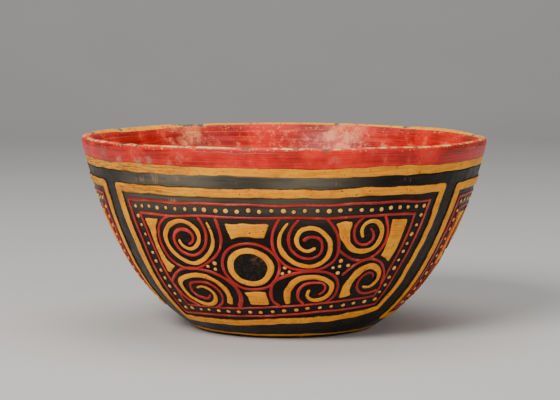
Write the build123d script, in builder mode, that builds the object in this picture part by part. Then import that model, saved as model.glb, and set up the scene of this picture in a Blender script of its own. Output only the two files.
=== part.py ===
"""Carved wooden bowl with three panels of painted scrolls, in millimetres.

The origin is the centre of the flat foot, +Z is up and the middle of the front panel
faces -Y. The carving is laid out on a flat sheet, as (across, up) points. Across runs
around the bowl, measured on a circle of SHEET_RADIUS, and is 0 just right of the front
panel's middle. Up runs along the outside of the wall, starting at the edge of the foot.
"""

from build123d import *
from math import cos, hypot, pi, radians, sin
import os

os.makedirs("parts", exist_ok=True)

# The outside of the wall: two tangent arcs and a short straight lip, seen in section.
# Slopes are angles from the vertical.
BOWL_HEIGHT = 142.7
FOOT_RADIUS = 65.0
FOOT_SLOPE = radians(58.6)
LOWER_ARC_RADIUS = 150.4
MIDDLE_SLOPE = radians(29.9)
UPPER_ARC_RADIUS = 296.0
LIP_SLOPE = radians(12.3)

# The hollow
WALL_THICKNESS = 7.5
FLOOR_HEIGHT = 16.0
FLOOR_CORNER_RADIUS = 42.0
LIP_ROUNDING = 2.2

# Paint and carving, with a hairline between the relief and the ground that it stands on
COAT = 0.4
RELIEF = 0.9
HAIRLINE = 0.01
SHEET_RADIUS = 120.0

# The carving crowds together towards the foot: below a height on the sheet, each point
# stands this share of its distance below that height further up the wall
CROWDING_TOP = 97.0
CROWDING = 0.03

# How finely a line's or a disc's edge follows its shape
LINE_STEP = 4.0
FEWEST_STEPS = 12
DISC_POINTS = 24

# Edges of the painted bands, as distances up the wall
FOOT_BAND_LOW = 2.0
FOOT_RING_LOW = 4.5
FOOT_RING_HIGH = 7.5
RIM_OCHRE_LOW = 151.0
RIM_OCHRE_HIGH = 157.5
RIM_RED_HIGH = 168.0

# The dots of the borders
DOT_RADIUS = 1.8
DOT_HEIGHT = 0.9

# Where the three panels stand, and how far each is stretched around the bowl
PANELS = {
    "front": (-0.45, 0.99),
    "right": (118.4, 1.057),
    "left": (-119.5, 1.057),
}

# Clear of the bowl above its rim, and further than any of it reaches
ABOVE_RIM = BOWL_HEIGHT * 2
BEYOND = BOWL_HEIGHT * 4

LOWER_ARC_LENGTH = LOWER_ARC_RADIUS * (FOOT_SLOPE - MIDDLE_SLOPE)
UPPER_ARC_LENGTH = UPPER_ARC_RADIUS * (MIDDLE_SLOPE - LIP_SLOPE)
SHOULDER_RADIUS = FOOT_RADIUS + LOWER_ARC_RADIUS * (cos(MIDDLE_SLOPE) - cos(FOOT_SLOPE))
SHOULDER_HEIGHT = LOWER_ARC_RADIUS * (sin(FOOT_SLOPE) - sin(MIDDLE_SLOPE))
LIP_START = LOWER_ARC_LENGTH + UPPER_ARC_LENGTH
LIP_START_RADIUS = SHOULDER_RADIUS + UPPER_ARC_RADIUS * (cos(LIP_SLOPE) - cos(MIDDLE_SLOPE))
LIP_START_HEIGHT = SHOULDER_HEIGHT + UPPER_ARC_RADIUS * (sin(MIDDLE_SLOPE) - sin(LIP_SLOPE))
WALL_LENGTH = LIP_START + (BOWL_HEIGHT - LIP_START_HEIGHT) / cos(LIP_SLOPE)

# The scrolls: centre-line points on the sheet, and widths spread evenly along the line
OCHRE_SCROLLS = [
    # upper left
    (
        [(-71, 102), (-69, 97), (-65, 95), (-58, 99.5), (-56, 108), (-60, 114.5), (-66, 116.5),
         (-77, 112), (-82.5, 103), (-80.5, 91.5), (-75, 86), (-65, 82.5), (-54, 88), (-47, 98),
         (-46, 108), (-48, 117)],
        [2.6, 3.4, 3.8, 3.8, 3.4, 1.6],
    ),
    # lower left
    (
        [(-71.5, 58.5), (-66, 60.5), (-60, 58.5), (-57, 52), (-60.5, 45.5), (-68, 42.8),
         (-78, 45.5), (-86, 54), (-86, 63), (-78, 69), (-66, 71.5), (-55, 69), (-47, 62),
         (-44, 53), (-46, 44)],
        [1.6, 4.4, 3.8, 4.8, 3.8, 5.4],
    ),
    # upper middle
    (
        [(21.5, 97.5), (17, 94.8), (11, 97.5), (8.5, 105), (11, 111.8), (19, 113.3), (26, 109),
         (31.5, 99), (30, 89), (23, 83), (13.5, 83), (4, 88.5), (-2, 99), (-1, 110.5), (3, 117.5)],
        [2.6, 3.4, 3.6, 3.8, 3.8, 1.8],
    ),
    # upper right
    (
        [(38.2, 117.8), (39.2, 111), (41.5, 103.5), (46.5, 96), (55.5, 93), (62.5, 96), (65.6, 104),
         (64.5, 112), (60.5, 116.4), (55.3, 117.2), (51.6, 113.5), (51.3, 109), (53, 104.5)],
        [9.0, 4.6, 4.0, 3.8, 3.6, 2.0],
    ),
    # lower middle
    (
        [(4.5, 46), (3, 54), (5, 63.5), (11, 70), (21, 72.5), (31, 70), (37, 64), (36.5, 56),
         (31, 50.5), (23, 50.3), (19, 55), (20, 60.5)],
        [5.0, 6.4, 4.4, 4.4, 4.0, 2.6],
    ),
    # lower right
    (
        [(51.2, 51.5), (49.7, 60), (52, 69.5), (57, 76.2), (63, 79.8), (70, 78.3), (74.7, 72.5),
         (74.7, 65), (70, 60.3), (63.5, 60.8)],
        [10.5, 7.0, 6.4, 4.8, 3.4, 2.6],
    ),
]
RED_SPIRALS = [
    # upper left
    (
        [(-65.5, 98.3), (-61.5, 101), (-61, 106.5), (-66, 109.5), (-72, 108), (-76, 101),
         (-73.5, 92.5), (-66, 89), (-57.5, 92.5), (-51.5, 101), (-50.5, 111), (-54, 120)],
        [1.6, 3.2, 2.4, 2.2, 2.2, 2.0],
    ),
    # lower left
    (
        [(-61.5, 53), (-65, 49.2), (-71, 49), (-77.5, 54.5), (-76.5, 61.5), (-69, 64.8), (-60, 64.4),
         (-52.8, 59), (-51, 51), (-55, 43), (-62, 38.8)],
        [2.0, 3.0, 2.4, 2.2, 2.2, 2.4],
    ),
    # upper middle
    (
        [(12.5, 103), (16, 106), (23, 105.5), (26, 99), (24, 91), (18, 88), (9, 91.5), (3.8, 101),
         (5, 111.5), (10, 120)],
        [2.6, 2.2, 2.0, 2.2, 2.2, 2.2],
    ),
    # upper right
    (
        [(56.8, 112), (60, 108), (60, 101.5), (55.5, 98.5), (49.5, 100.5), (46, 107.5),
         (46.5, 115), (51, 121)],
        [1.6, 2.4, 2.2, 2.0, 2.0, 2.2],
    ),
    # lower middle
    (
        [(28, 55), (32, 59.5), (31, 65), (24.5, 67), (15.5, 65), (11.3, 58), (12.5, 50), (17, 44.5)],
        [1.6, 2.0, 2.2, 2.6, 2.6, 2.4],
    ),
    # lower right
    (
        [(70, 69), (68.8, 72.7), (64, 73.4), (59.4, 69), (58.4, 62), (62.5, 55.5), (69, 53.5),
         (80, 56.5)],
        [1.6, 2.2, 2.2, 2.4, 2.4, 2.0],
    ),
]
RED_LOOPS = [
    # around the upper left scroll
    (
        [(-73.5, 120), (-82, 115), (-88, 105.5), (-89.3, 95.5), (-86.5, 84.8), (-78.5, 78.3),
         (-68, 77), (-58, 80.8), (-49.5, 86.7), (-42.3, 95.5), (-40.5, 107), (-42.5, 120)],
        [2.0, 2.2, 2.2, 2.2, 2.2, 2.2],
    ),
    # around the lower left scroll
    (
        [(-96.5, 61), (-89.5, 68.3), (-80, 75.4), (-69, 77.6), (-57, 75.8), (-45, 70.5),
         (-37, 62), (-34.5, 52.5), (-38, 40.5)],
        [2.6, 2.6, 2.4, 2.4, 3.4, 4.4],
    ),
    # below the lower left scroll
    (
        [(-96.2, 62), (-94, 52.5), (-88, 45), (-78.5, 38.8)],
        [2.4, 3.0, 2.6, 2.2],
    ),
    # around the upper middle scroll
    (
        [(-1.5, 121), (-5.7, 111), (-6.8, 99.5), (-3, 88.5), (5.5, 80.2), (17, 78.2), (28, 80),
         (36.3, 88.5), (37.2, 96), (34.3, 109), (27, 120.5)],
        [2.0, 2.2, 2.2, 2.2, 2.2, 2.2],
    ),
    # around the upper right scroll
    (
        [(65.5, 121), (69.6, 111), (70, 97), (64, 88.5), (55, 85.7), (46, 88.3), (37.2, 95)],
        [2.2, 2.2, 2.2, 2.2, 2.2, 2.2],
    ),
    # around the lower middle scroll
    (
        [(-2.5, 43.5), (-8, 48.5), (-9.5, 58), (-6.5, 67.5), (1, 72.7), (10, 76.2), (22, 77.3),
         (33, 75.3), (40, 69.5), (42.3, 60.5), (40.5, 52), (35.5, 46)],
        [2.6, 3.0, 3.0, 2.4, 2.4, 2.4],
    ),
    # around the lower right scroll
    (
        [(43.5, 72.5), (50, 79.7), (58, 85), (66, 85.4), (74.5, 80.5), (79.6, 72), (80.5, 62)],
        [1.8, 2.2, 2.2, 2.2, 2.2, 2.2],
    ),
]

# The ochre blocks between the scrolls, as outlines on the sheet
OCHRE_BLOCKS = [
    # hourglass at the left
    [(-96.8, 116.5), (-84.8, 116.8), (-88.5, 110.5), (-91.2, 103.5), (-92, 96), (-91.3, 88.5),
     (-89.5, 82.5), (-84.6, 77.5), (-91.5, 71.3), (-94.2, 71.6), (-95.7, 82), (-96, 94),
     (-95.6, 107)],
    # trapezoid over the roundel
    [(-37, 116.5), (-8.2, 116.5), (-11.5, 105.5), (-15.5, 105), (-22.5, 106), (-29, 105.3),
     (-34, 103.3), (-34.6, 108)],
    # square under the roundel
    [(-31, 57), (-27, 58.2), (-13.4, 58.4), (-12, 51), (-12, 44.8), (-28, 44.5), (-28.8, 53)],
    # bar at the right
    [(71.3, 118), (84, 117), (83.6, 104.5), (82, 93.5), (79.4, 82.5), (70.4, 88.6), (71.8, 97),
     (72.2, 105)],
]

# The roundel, its ring and the red line around it
ROUNDEL_CENTRE = (-22.8, 80.4)
ROUNDEL_BOSS_RADIUS = 11.6
ROUNDEL_RING_INNER = 12.0
ROUNDEL_RING_OUTER = 17.0
ROUNDEL_LINE_RADIUS = 20.3
ROUNDEL_LINE_WIDTH = 2.2

# The loose dots that fill gaps between scrolls
FILL_DOTS = [(-54.5, 79.5), (-48.2, 82.5), (-48.8, 77.3), (1.2, 80.3), (4.8, 77.2), (0, 76),
             (40.3, 85.3), (35.2, 80.6), (40, 80.6), (46.2, 82), (39.6, 75.6)]

# The straight borders: corners from the top left, clockwise, and the width of each side.
# The dots stand along a row of their own, with so many steps to each side
FRAME = (
    [(-115.5, 138.8), (109.8, 139.9), (106.2, 100), (101.2, 60), (95.6, 34.8), (82, 32), (45, 27.2),
     (-5, 25.2), (-45, 21.5), (-119.5, 20.8)],
    [7.4, 6.0, 6.0, 6.0, 8.0, 8.0, 8.0, 8.0, 8.0, 7.4],
)
OUTER_LINE = (
    [(-108, 130), (100.3, 131.2), (88.3, 40.3), (45, 37), (-20, 31.2), (-109.7, 28.6)],
    [2.0] * 6,
)
DOT_ROW = [(-102.8, 125.6), (95.8, 126.6), (83.7, 46), (42.5, 42.3), (-20, 36.4), (-102.5, 34.6)]
DOT_STEPS = [29, 11, 4, 6, 8, 12]
INNER_LINE = (
    [(-99.8, 120.2), (89.4, 121.2), (80.7, 50), (50, 47.2), (-15, 41.6), (-60, 38.8), (-95, 38.8)],
    [2.0] * 7,
)


def wall_point(up, depth):
    """Radius and height of the wall at a distance up it and a depth outside it."""
    if up < LOWER_ARC_LENGTH:
        slope = FOOT_SLOPE - up / LOWER_ARC_RADIUS
        radius = FOOT_RADIUS + LOWER_ARC_RADIUS * (cos(slope) - cos(FOOT_SLOPE))
        height = LOWER_ARC_RADIUS * (sin(FOOT_SLOPE) - sin(slope))
    elif up < LIP_START:
        slope = MIDDLE_SLOPE - (up - LOWER_ARC_LENGTH) / UPPER_ARC_RADIUS
        radius = SHOULDER_RADIUS + UPPER_ARC_RADIUS * (cos(slope) - cos(MIDDLE_SLOPE))
        height = SHOULDER_HEIGHT + UPPER_ARC_RADIUS * (sin(MIDDLE_SLOPE) - sin(slope))
    else:
        slope = LIP_SLOPE
        radius = LIP_START_RADIUS + (up - LIP_START) * sin(slope)
        height = LIP_START_HEIGHT + (up - LIP_START) * cos(slope)
    return radius + depth * cos(slope), height - depth * sin(slope)


def wall_curve(low, high, depth):
    """Edges along the wall, for use inside a line builder."""
    joints = [joint for joint in (LOWER_ARC_LENGTH, LIP_START) if low < joint < high]
    stops = [low, *joints, high]
    edges = []
    for start, end in zip(stops, stops[1:]):
        points = [wall_point(up, depth) for up in (start, (start + end) / 2, end)]
        if start >= LIP_START:
            edges.append(Line(points[0], points[2]))
        else:
            edges.append(ThreePointArc(*points))
    return edges


def wall_band(low, high, inside, outside):
    """A ring of the wall's surface between two distances up it and two depths."""
    with BuildPart() as ring:
        with BuildSketch(Plane.XZ):
            with BuildLine():
                inner = wall_curve(low, high, inside)
                outer = wall_curve(low, high, outside)
                Line(inner[0] @ 0, outer[0] @ 0)
                Line(inner[-1] @ 1, outer[-1] @ 1)
            make_face()
        revolve(axis=Axis.Z)
    return ring.part


def hollow(inset):
    """Half section of the bowl's inside, drawn in from the wood by the inset."""
    depth = -(WALL_THICKNESS + inset)
    with BuildSketch() as section:
        with BuildLine():
            wall = wall_curve(0, WALL_LENGTH, depth)
            top = wall[-1] @ 1
            Line(top, (top.X, ABOVE_RIM))
            Line((top.X, ABOVE_RIM), (0, ABOVE_RIM))
            Line((0, ABOVE_RIM), (0, 0))
            Line((0, 0), wall[0] @ 0)
        make_face()
        with Locations((0, FLOOR_HEIGHT + inset)):
            Rectangle(BEYOND, BEYOND, align=(Align.CENTER, Align.MIN), mode=Mode.INTERSECT)
        corner = section.vertices().group_by(Axis.Y)[0].sort_by(Axis.X)[-1]
        fillet(corner, FLOOR_CORNER_RADIUS - inset)
    return section.sketch


def panel_plane(panel):
    """Upright plane through the bowl's axis, facing the middle of a panel."""
    turn = PANELS[panel][0]
    return Plane.XZ.rotated((0, 0, turn))


def crowded(up):
    """Distance up the wall of a point of the sheet."""
    return up + CROWDING * max(0, CROWDING_TOP - up)


def wrap(point, panel):
    """Place a sheet point on the wall, as seen square on from in front of its panel."""
    across, up = point
    radius, height = wall_point(crowded(up), 0)
    return radius * sin(across / SHEET_RADIUS * PANELS[panel][1]), height


def ribbon(points, widths, panel):
    """Face of a painted line that follows the points, wrapped on a panel."""
    middle = Spline(*points) if len(points) > 2 else Line(*points)
    steps = max(FEWEST_STEPS, round(middle.length / LINE_STEP))
    sides = ([], [])
    for step in range(steps + 1):
        along = step / steps
        spot = middle.position_at(along)
        heading = middle.tangent_at(along)
        place = along * (len(widths) - 1)
        index = min(int(place), len(widths) - 2)
        width = widths[index] + (widths[index + 1] - widths[index]) * (place - index)
        for side, sign in zip(sides, (1, -1)):
            offset = sign * width / 2
            side.append(wrap((spot.X - heading.Y * offset, spot.Y + heading.X * offset), panel))
    left, right = sides
    with BuildSketch() as face:
        with BuildLine():
            Spline(*left)
            Line(left[-1], right[-1])
            Spline(*right)
            Line(right[0], left[0])
        make_face()
    return face.sketch


def outline(points, panel):
    """Face of a block with straight sides, wrapped on a panel."""
    with BuildSketch() as face:
        with BuildLine():
            Polyline(*[wrap(point, panel) for point in points], close=True)
        make_face()
    return face.sketch


def disc(centre, radius, panel):
    """Face that becomes a round disc on the wall."""
    with BuildSketch() as face:
        with BuildLine():
            turns = [2 * pi * step / DISC_POINTS for step in range(DISC_POINTS)]
            rim = [(centre[0] + radius * cos(turn), centre[1] + radius * sin(turn)) for turn in turns]
            Spline(*[wrap(point, panel) for point in rim], periodic=True)
        make_face()
    return face.sketch


def border(corners, widths, panel):
    """Closed line of straight stretches through the corners, each with its own width."""
    ends = corners[1:] + corners[:1]
    before = widths[-1:] + widths[:-1]
    after = widths[1:] + widths[:1]
    with BuildSketch() as face:
        for start, end, width, width_before, width_after in zip(corners, ends, widths, before, after):
            length = hypot(end[0] - start[0], end[1] - start[1])
            first = tuple(a - (b - a) * width_before / 2 / length for a, b in zip(start, end))
            last = tuple(b + (b - a) * width_after / 2 / length for a, b in zip(start, end))
            add(ribbon([first, last], [width, width], panel))
    return face.sketch


def raised(faces, panel):
    """Wrapped faces as solids that stand up from the black ground."""
    with BuildPart() as carving:
        with BuildSketch(panel_plane(panel)):
            add(faces)
        extrude(amount=BEYOND)
        add(RELIEF_SHELL, mode=Mode.INTERSECT)
    return carving.part


def border_dots():
    """Sheet points of the dots, evenly spaced along each side of their row."""
    dots = []
    for start, end, steps in zip(DOT_ROW, DOT_ROW[1:] + DOT_ROW[:1], DOT_STEPS):
        for step in range(steps):
            along = step / steps
            dots.append(tuple(a + (b - a) * along for a, b in zip(start, end)))
    return dots


def dot_seat(point, panel):
    """Where a dot stands on the black ground, with its axis square to the wall."""
    across, up = point
    turn = across / SHEET_RADIUS * PANELS[panel][1] + radians(PANELS[panel][0])
    skin_radius, skin_height = wall_point(crowded(up), 0)
    radius, height = wall_point(crowded(up), COAT)
    lean = radius - skin_radius
    normal = (lean * sin(turn), -lean * cos(turn), height - skin_height)
    return Plane(origin=(radius * sin(turn), -radius * cos(turn), height), z_dir=normal)


def dot_group(points, panel):
    """Round dots standing on the black ground."""
    with BuildPart() as dots:
        with Locations(*[dot_seat(point, panel) for point in points]):
            Cylinder(DOT_RADIUS, DOT_HEIGHT, align=(Align.CENTER, Align.CENTER, Align.MIN))
    return dots.part


# Bowl body: one carved block of wood, open at the top
with BuildPart() as bowl_body:
    with BuildSketch(Plane.XZ) as body_section:
        with BuildLine():
            wall = wall_curve(0, WALL_LENGTH, 0)
            Line((0, 0), wall[0] @ 0)
            Line(wall[-1] @ 1, (0, BOWL_HEIGHT))
            Line((0, BOWL_HEIGHT), (0, 0))
        make_face()
        add(hollow(0), mode=Mode.SUBTRACT)
        fillet(body_section.vertices().group_by(Axis.Y)[-1], LIP_ROUNDING)
    revolve(axis=Axis.Z)
bowl_body.part.label = "bowl_body"
export_step(bowl_body.part, "parts/bowl_body.step")

# Interior coat: red paint over the whole hollow, up to the worn lip
with BuildPart() as interior_coat:
    with BuildSketch(Plane.XZ):
        add(hollow(0))
        add(hollow(COAT), mode=Mode.SUBTRACT)
        Rectangle(BEYOND, wall_point(RIM_RED_HIGH, 0)[1] * 2, mode=Mode.INTERSECT)
    revolve(axis=Axis.Z)
interior_coat.part.label = "interior_coat"
export_step(interior_coat.part, "parts/interior_coat.step")

# Painted bands and the black ground, one ring of the wall each
BANDS = {
    "foot_band_black": (FOOT_BAND_LOW, FOOT_RING_LOW),
    "foot_ring_ochre": (FOOT_RING_LOW, FOOT_RING_HIGH),
    "black_ground": (FOOT_RING_HIGH, RIM_OCHRE_LOW),
    "rim_band_ochre": (RIM_OCHRE_LOW, RIM_OCHRE_HIGH),
    "rim_band_red": (RIM_OCHRE_HIGH, RIM_RED_HIGH),
}
for band_name, (low, high) in BANDS.items():
    with BuildPart() as band:
        add(wall_band(low, high, 0, COAT))
    band.part.label = band_name
    export_step(band.part, f"parts/{band_name}.step")

# The thickness of the wall that the carving fills, over the black ground
RELIEF_SHELL = wall_band(FOOT_RING_HIGH, RIM_OCHRE_LOW, COAT + HAIRLINE, COAT + RELIEF)


def roundel_ring(panel):
    """Flat ochre ring around the boss."""
    with BuildSketch() as face:
        add(disc(ROUNDEL_CENTRE, ROUNDEL_RING_OUTER, panel))
        add(disc(ROUNDEL_CENTRE, ROUNDEL_RING_INNER, panel), mode=Mode.SUBTRACT)
    return face.sketch


def red_lines(panel):
    """The inner border with the lines that run off it and wind between the scrolls."""
    with BuildSketch() as face:
        add(border(*INNER_LINE, panel))
        for points, widths in RED_LOOPS + RED_SPIRALS:
            add(ribbon(points, widths, panel))
        add(disc(ROUNDEL_CENTRE, ROUNDEL_LINE_RADIUS + ROUNDEL_LINE_WIDTH / 2, panel))
        add(disc(ROUNDEL_CENTRE, ROUNDEL_LINE_RADIUS - ROUNDEL_LINE_WIDTH / 2, panel),
            mode=Mode.SUBTRACT)
    return face.sketch


def ochre_scrolls(panel):
    """The six tapering scrolls."""
    with BuildSketch() as face:
        for points, widths in OCHRE_SCROLLS:
            add(ribbon(points, widths, panel))
    return face.sketch


def ochre_blocks(panel):
    """The four blocks between the scrolls."""
    with BuildSketch() as face:
        for points in OCHRE_BLOCKS:
            add(outline(points, panel))
    return face.sketch


# The carving of each panel, one node for each colour and kind of shape
for panel in PANELS:
    carvings = {
        "frame": raised(border(*FRAME, panel), panel),
        "outer_line": raised(border(*OUTER_LINE, panel), panel),
        "red_lines": raised(red_lines(panel), panel),
        "ochre_scrolls": raised(ochre_scrolls(panel), panel),
        "ochre_blocks": raised(ochre_blocks(panel), panel),
        "roundel_ring": raised(roundel_ring(panel), panel),
        "roundel_boss": raised(disc(ROUNDEL_CENTRE, ROUNDEL_BOSS_RADIUS, panel), panel),
        "border_dots": dot_group(border_dots(), panel),
        "fill_dots": dot_group(FILL_DOTS, panel),
    }
    for kind, solid in carvings.items():
        with BuildPart() as carving:
            add(solid)
        carving.part.label = f"{panel}_{kind}"
        export_step(carving.part, f"parts/{panel}_{kind}.step")
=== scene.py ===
"""Looks of the carved wooden bowl: carving, paint, wear, floor, light and camera.

Blender works in metres. The carving is laid out in millimetres on a flat sheet, as
(across, up) points: across runs around the bowl, measured on a circle of SHEET_RADIUS,
and up runs along the outside of the wall from the edge of the foot. place() wraps it.
"""

import math
import bmesh
import bpy
import numpy as np
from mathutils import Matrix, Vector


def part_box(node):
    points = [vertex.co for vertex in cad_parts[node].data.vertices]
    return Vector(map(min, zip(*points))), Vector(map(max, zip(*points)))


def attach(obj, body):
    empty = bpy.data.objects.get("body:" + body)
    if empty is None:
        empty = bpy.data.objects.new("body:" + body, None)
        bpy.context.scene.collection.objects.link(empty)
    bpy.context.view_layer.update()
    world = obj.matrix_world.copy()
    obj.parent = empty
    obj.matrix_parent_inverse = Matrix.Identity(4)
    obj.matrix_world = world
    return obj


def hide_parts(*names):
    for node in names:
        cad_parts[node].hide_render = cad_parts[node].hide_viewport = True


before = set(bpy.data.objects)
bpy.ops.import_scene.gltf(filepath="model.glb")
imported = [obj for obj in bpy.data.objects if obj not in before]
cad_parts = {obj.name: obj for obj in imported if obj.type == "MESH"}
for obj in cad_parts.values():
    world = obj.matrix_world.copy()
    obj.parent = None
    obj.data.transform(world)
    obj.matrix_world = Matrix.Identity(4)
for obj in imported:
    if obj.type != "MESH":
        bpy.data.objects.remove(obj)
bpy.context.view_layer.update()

MM = 0.001

# Outside of the wall, in section: two tangent arcs and a straight lip, in mm.
# Slopes are angles from the vertical.
BOWL_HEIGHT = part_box("bowl_body")[1][2] / MM
FOOT_RADIUS = 65.0
FOOT_SLOPE = math.radians(58.6)
LOWER_ARC_RADIUS = 150.4
MIDDLE_SLOPE = math.radians(29.9)
UPPER_ARC_RADIUS = 296.0
LIP_SLOPE = math.radians(12.3)
LOWER_ARC_LENGTH = LOWER_ARC_RADIUS * (FOOT_SLOPE - MIDDLE_SLOPE)
LIP_START = LOWER_ARC_LENGTH + UPPER_ARC_RADIUS * (MIDDLE_SLOPE - LIP_SLOPE)

# The hollow
WALL_THICKNESS = 7.5
FLOOR_HEIGHT = 16.0
FLOOR_CORNER_RADIUS = 42.0
LIP_ROUNDING = 2.2

# Paint and carving
COAT = 0.4
ROOT = -0.35
OCHRE_TALL = 0.95
LINE_TALL = 0.9
BORDER_TALL = 0.85
SHEET_RADIUS = 120.0
CROWDING_TOP = 97.0
CROWDING = 0.03
DOT_RADIUS = 1.8
LONGEST_END = 1.3
BLOCK_EDGE = 1.1
BLOCK_GRID = 0.75
BAND_RADIUS = 140.0
BAND_STEPS = 720

# Where each panel's middle stands, in degrees, and its stretch around the bowl
PANELS = {
    "front": (-0.45, 0.99),
    "right": (118.4, 1.057),
    "left": (-119.5, 1.057),
}

# The scrolls: centre-line points on the sheet, and widths spread evenly along the line
OCHRE_SCROLLS = [
    # upper left
    ([(-71, 102), (-69, 97), (-65, 95), (-58, 99.5), (-56, 108), (-60, 114.5), (-66, 116.5),
      (-77, 112), (-82.5, 103), (-80.5, 91.5), (-75, 86), (-65, 82.5), (-54, 88), (-47, 98),
      (-46, 108), (-48, 117)],
     [2.6, 3.4, 3.8, 3.8, 3.4, 1.6]),
    # lower left
    ([(-71.5, 58.5), (-66, 60.5), (-60, 58.5), (-57, 52), (-60.5, 45.5), (-68, 42.8),
      (-78, 45.5), (-86, 54), (-86, 63), (-78, 69), (-66, 71.5), (-55, 69), (-47, 62),
      (-44, 53), (-46, 44)],
     [1.6, 4.4, 3.8, 4.8, 3.8, 5.4]),
    # upper middle
    ([(21.5, 97.5), (17, 94.8), (11, 97.5), (8.5, 105), (11, 111.8), (19, 113.3), (26, 109),
      (31.5, 99), (30, 89), (23, 83), (13.5, 83), (4, 88.5), (-2, 99), (-1, 110.5), (3, 117.5)],
     [2.6, 3.4, 3.6, 3.8, 3.8, 1.8]),
    # upper right
    ([(38.2, 117.8), (39.2, 111), (41.5, 103.5), (46.5, 96), (55.5, 93), (62.5, 96), (65.6, 104),
      (64.5, 112), (60.5, 116.4), (55.3, 117.2), (51.6, 113.5), (51.3, 109), (53, 104.5)],
     [12.0, 5.2, 4.1, 3.8, 3.6, 2.0]),
    # lower middle
    ([(4.5, 46), (3, 54), (5, 63.5), (11, 70), (21, 72.5), (31, 70), (37, 64), (36.5, 56),
      (31, 50.5), (23, 50.3), (19, 55), (20, 60.5)],
     [5.0, 6.4, 4.4, 4.4, 4.0, 2.6]),
    # lower right
    ([(51.2, 51.5), (49.7, 60), (52, 69.5), (57, 76.2), (63, 79.8), (70, 78.3), (74.7, 72.5),
      (74.7, 65), (70, 60.3), (63.5, 60.8)],
     [10.5, 7.0, 6.4, 4.8, 3.4, 2.6]),
]
RED_SPIRALS = [
    # upper left
    ([(-65.5, 98.3), (-61.5, 101), (-61, 106.5), (-66, 109.5), (-72, 108), (-76, 101),
      (-73.5, 92.5), (-66, 89), (-57.5, 92.5), (-51.5, 101), (-50.5, 111), (-54, 120)],
     [1.6, 3.2, 2.4, 2.2, 2.2, 2.0]),
    # lower left
    ([(-61.5, 53), (-65, 49.2), (-71, 49), (-77.5, 54.5), (-76.5, 61.5), (-69, 64.8), (-60, 64.4),
      (-52.8, 59), (-51, 51), (-55, 43), (-62, 38.8)],
     [2.0, 3.0, 2.4, 2.2, 2.2, 2.4]),
    # upper middle
    ([(12.5, 103), (16, 106), (23, 105.5), (26, 99), (24, 91), (18, 88), (9, 91.5), (3.8, 101),
      (5, 111.5), (10, 120)],
     [2.6, 2.2, 2.0, 2.2, 2.2, 2.2]),
    # upper right
    ([(56.8, 112), (60, 108), (60, 101.5), (55.5, 98.5), (49.5, 100.5), (46, 107.5),
      (46.5, 115), (51, 121)],
     [1.6, 2.4, 2.2, 2.0, 2.0, 2.2]),
    # lower middle
    ([(28, 55), (32, 59.5), (31, 65), (24.5, 67), (15.5, 65), (11.3, 58), (12.5, 50), (17, 44.5)],
     [1.6, 2.0, 2.2, 2.6, 2.6, 2.4]),
    # lower right
    ([(70, 69), (68.8, 72.7), (64, 73.4), (59.4, 69), (58.4, 62), (62.5, 55.5), (69, 53.5),
      (80, 56.5)],
     [1.6, 2.2, 2.2, 2.4, 2.4, 2.0]),
]
RED_LOOPS = [
    # around the upper left scroll
    ([(-73.5, 120), (-82, 115), (-88, 105.5), (-89.3, 95.5), (-86.5, 84.8), (-78.5, 78.3),
      (-68, 77), (-58, 80.8), (-49.5, 86.7), (-42.3, 95.5), (-40.5, 107), (-42.5, 120)],
     [2.0, 2.2, 2.2, 2.2, 2.2, 2.2]),
    # around the lower left scroll
    ([(-96.5, 61), (-89.5, 68.3), (-80, 75.4), (-69, 77.6), (-57, 75.8), (-45, 70.5),
      (-37, 62), (-34.5, 52.5), (-38, 40.5)],
     [2.6, 2.6, 2.4, 2.4, 3.4, 4.4]),
    # below the lower left scroll
    ([(-96.2, 62), (-94, 52.5), (-88, 45), (-78.5, 38.8)],
     [2.4, 3.0, 2.6, 2.2]),
    # around the upper middle scroll
    ([(-1.5, 121), (-5.7, 111), (-6.8, 99.5), (-3, 88.5), (5.5, 80.2), (17, 78.2), (28, 80),
      (36.3, 88.5), (37.2, 96), (34.3, 109), (27, 120.5)],
     [2.0, 2.2, 2.2, 2.2, 2.2, 2.2]),
    # around the upper right scroll
    ([(65.5, 121), (69.6, 111), (70, 97), (64, 88.5), (55, 85.7), (46, 88.3), (37.2, 95)],
     [2.2] * 6),
    # around the lower middle scroll
    ([(-2.5, 43.5), (-8, 48.5), (-9.5, 58), (-6.5, 67.5), (1, 72.7), (10, 76.2), (22, 77.3),
      (33, 75.3), (40, 69.5), (42.3, 60.5), (40.5, 52), (35.5, 46)],
     [2.6, 3.0, 3.0, 2.4, 2.4, 2.4]),
    # around the lower right scroll
    ([(43.5, 72.5), (50, 79.7), (58, 85), (66, 85.4), (74.5, 80.5), (79.6, 72), (80.5, 62)],
     [1.8, 2.2, 2.2, 2.2, 2.2, 2.2]),
]

# The ochre blocks between the scrolls, as outlines on the sheet
OCHRE_BLOCKS = [
    # hourglass at the left
    [(-96.8, 116.5), (-84.8, 116.8), (-88.5, 110.5), (-91.2, 103.5), (-92, 96), (-91.3, 88.5),
     (-89.5, 82.5), (-84.6, 77.5), (-91.5, 71.3), (-94.2, 71.6), (-95.7, 82), (-96, 94),
     (-95.6, 107)],
    # trapezoid over the roundel
    [(-37, 116.5), (-8.2, 116.5), (-11.5, 105.5), (-15.5, 105), (-22.5, 106), (-29, 105.3),
     (-34, 103.3), (-34.6, 108)],
    # square under the roundel
    [(-31, 57), (-27, 58.2), (-13.4, 58.4), (-12, 51), (-12, 44.8), (-28, 44.5), (-28.8, 53)],
    # bar at the right
    [(71.3, 118), (84, 117), (83.6, 104.5), (82, 93.5), (79.4, 82.5), (70.4, 88.6), (71.8, 97),
     (72.2, 105)],
]

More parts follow.
